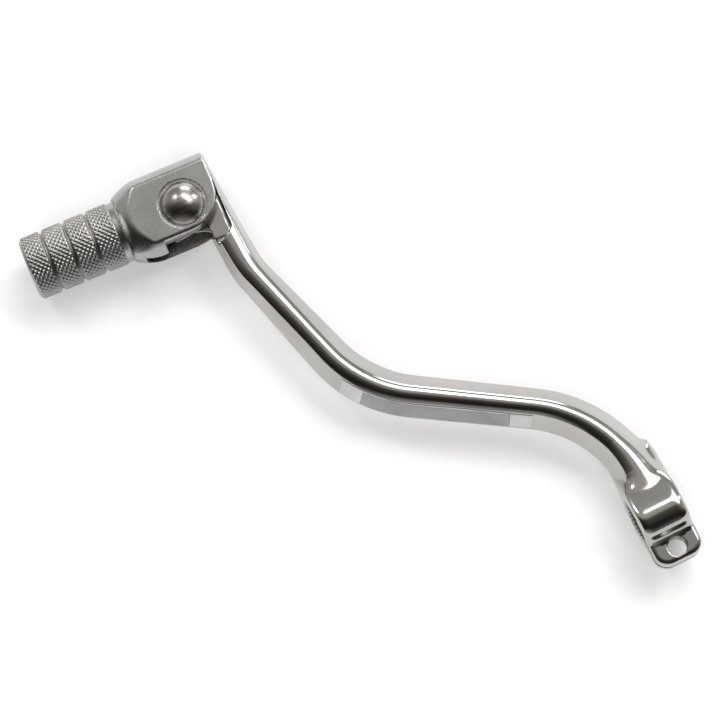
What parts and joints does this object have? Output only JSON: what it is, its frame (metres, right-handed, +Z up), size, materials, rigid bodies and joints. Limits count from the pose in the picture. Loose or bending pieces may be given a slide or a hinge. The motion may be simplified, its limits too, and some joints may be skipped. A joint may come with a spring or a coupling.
{
  "type": "gear shift lever",
  "caption": "Motorcycle gear shift lever: splined pinch-clamp boss, double-bent forged arm, and a knurled toe peg on a sprung folding hinge.",
  "frame": {"origin": "middle of the splined bore in the clamp boss", "axes": "+X forward from the boss to the tip, +Y outboard along the shift shaft's axis, +Z up, parallel to the hinge pin"},
  "size_m": [0.1593, 0.1296, 0.0231],
  "materials": {
    "polished_alloy": "mirror polished",
    "tip_alloy": "machined and knurled",
    "pin_steel": "dark polished steel with fine scratches",
    "washer_steel": "zinc plated",
    "bush_bronze": "machined",
    "spring_steel": "drawn wire",
    "tape": "blank matte tape"
  },
  "bodies": {
    "arm": {"lever_arm": "polished_alloy", "pivot_bush": "bush_bronze", "stock_label": "tape"},
    "tip": {"folding_tip": "tip_alloy", "pivot_pin": "pin_steel", "pin_washer": "washer_steel", "return_spring": "spring_steel"},
    "plunger": {"plunger": "spring_steel"}
  },
  "joints": [
    {"name": "tip_fold", "type": "hinge", "parent": "arm", "child": "tip", "pos_m": [0.1316, 0.0772, 0], "axis": [0, 0, 1], "range_deg": [0, 55], "stiffness_Nm_per_rad": 0.15, "springref_deg": -28.65},
    {"name": "plunger_slide", "type": "slide", "parent": "tip", "child": "plunger", "axis": [0.0628, 0.998, 0], "range_m": [0, 0.0012], "deforming": ["return_spring"]}
  ],
  "couplings": [
    {"joint": "plunger_slide", "follows": "tip_fold", "m_per_rad": 0.0012}
  ]
}
